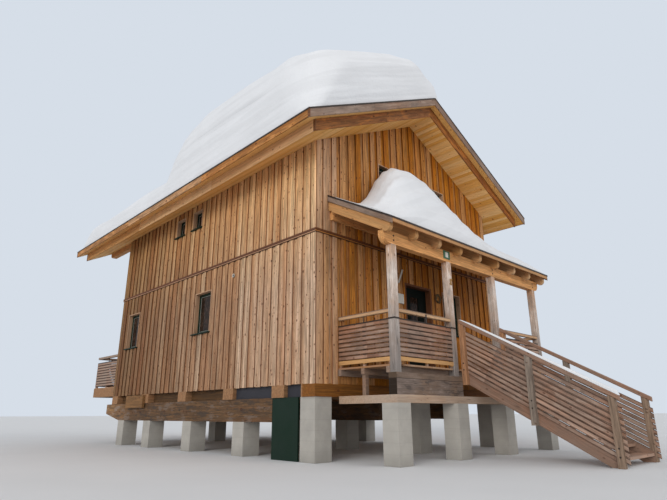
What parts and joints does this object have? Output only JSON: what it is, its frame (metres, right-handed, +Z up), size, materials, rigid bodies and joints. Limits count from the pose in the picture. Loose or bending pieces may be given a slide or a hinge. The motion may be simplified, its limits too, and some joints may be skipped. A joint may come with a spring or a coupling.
{
  "type": "alpine chalet",
  "caption": "Timber alpine chalet with board cladding, snow-covered gable roof, entrance porch with outside stair, rear balcony and a hinged entrance door.",
  "frame": {"origin": "on the ground under the central pier, at the middle of the house's plan", "axes": "+Z up, +Y from the entrance gable to the back, +X to the right as seen from the entrance"},
  "size_m": [9.252, 17.352, 10.5414],
  "materials": {
    "larch_cladding": "sawn larch boards, honey coloured with knots",
    "larch_trim": "planed larch trim",
    "larch_beam": "planed spruce and larch beams",
    "rough_timber": "sawn structural timber",
    "weathered_timber": "weathered grey brown timber",
    "soffit_boards": "pale planed boards",
    "floor_boards": "planed floor boards",
    "sill_timber": "weathered sill board",
    "green_paint": "dark green paint",
    "glass": "clear glass before a dark room",
    "steel": "brushed",
    "roof_covering": "dark sheet metal",
    "concrete": "cast concrete, matte",
    "snow": "settled snow, matte"
  },
  "bodies": {
    "house": {"back_gable": "larch_cladding", "back_wall_lower": "larch_cladding", "balcony_door": "green_paint", "balcony_floor": "weathered_timber", "balcony_hand_rails": "weathered_timber", "balcony_joists": "larch_beam", "balcony_rails": "weathered_timber", "belt_trim": "larch_trim", "cellar_panel": "green_paint", "door_frame": "larch_trim", "door_hinges_frame": "steel", "door_threshold": "larch_trim", "floor_joists": "rough_timber", "foundation_piers": "concrete", "front_gable": "larch_cladding", "front_wall_left": "larch_cladding", "front_wall_over_door": "larch_cladding", "front_wall_right": "larch_cladding", "ground_floor": "floor_boards", "left_wall_lower": "larch_cladding", "left_wall_upper": "larch_cladding", "lower_edge_boards": "larch_trim", "porch_base_beams": "weathered_timber", "porch_beams": "larch_beam", "porch_deck": "weathered_timber", "porch_edge_boards": "weathered_timber", "porch_ground_beams": "rough_timber", "porch_hand_rails": "weathered_timber", "porch_joists": "larch_beam", "porch_posts": "larch_beam", "porch_rafters": "larch_beam", "porch_rails": "weathered_timber", "porch_roof_boards": "soffit_boards", "porch_roof_cover": "roof_covering", "porch_snow": "snow", "purlins": "larch_trim", "rail_brackets": "steel", "right_wall_lower": "larch_cladding", "right_wall_upper": "larch_cladding", "roof_cover": "roof_covering", "roof_deck": "soffit_boards", "roof_snow": "snow", "sill_beams": "rough_timber", "stair_hand_rails": "weathered_timber", "stair_rails": "weathered_timber", "stair_stringers": "weathered_timber", "stair_treads": "weathered_timber", "upper_edge_boards": "weathered_timber", "upper_floor": "floor_boards", "window_frames": "green_paint", "window_glass": "glass", "window_linings": "larch_trim", "window_sills": "sill_timber"},
    "entrance_door": {"door_leaf": "green_paint", "door_glass": "glass", "door_handles": "steel", "door_hinges_leaf": "steel"}
  },
  "joints": [
    {"name": "entrance_door_hinge", "type": "hinge", "parent": "house", "child": "entrance_door", "pos_m": [0.4825, -4.869, 1.815], "axis": [0, 0, -1], "range_deg": [0, 90]}
  ]
}
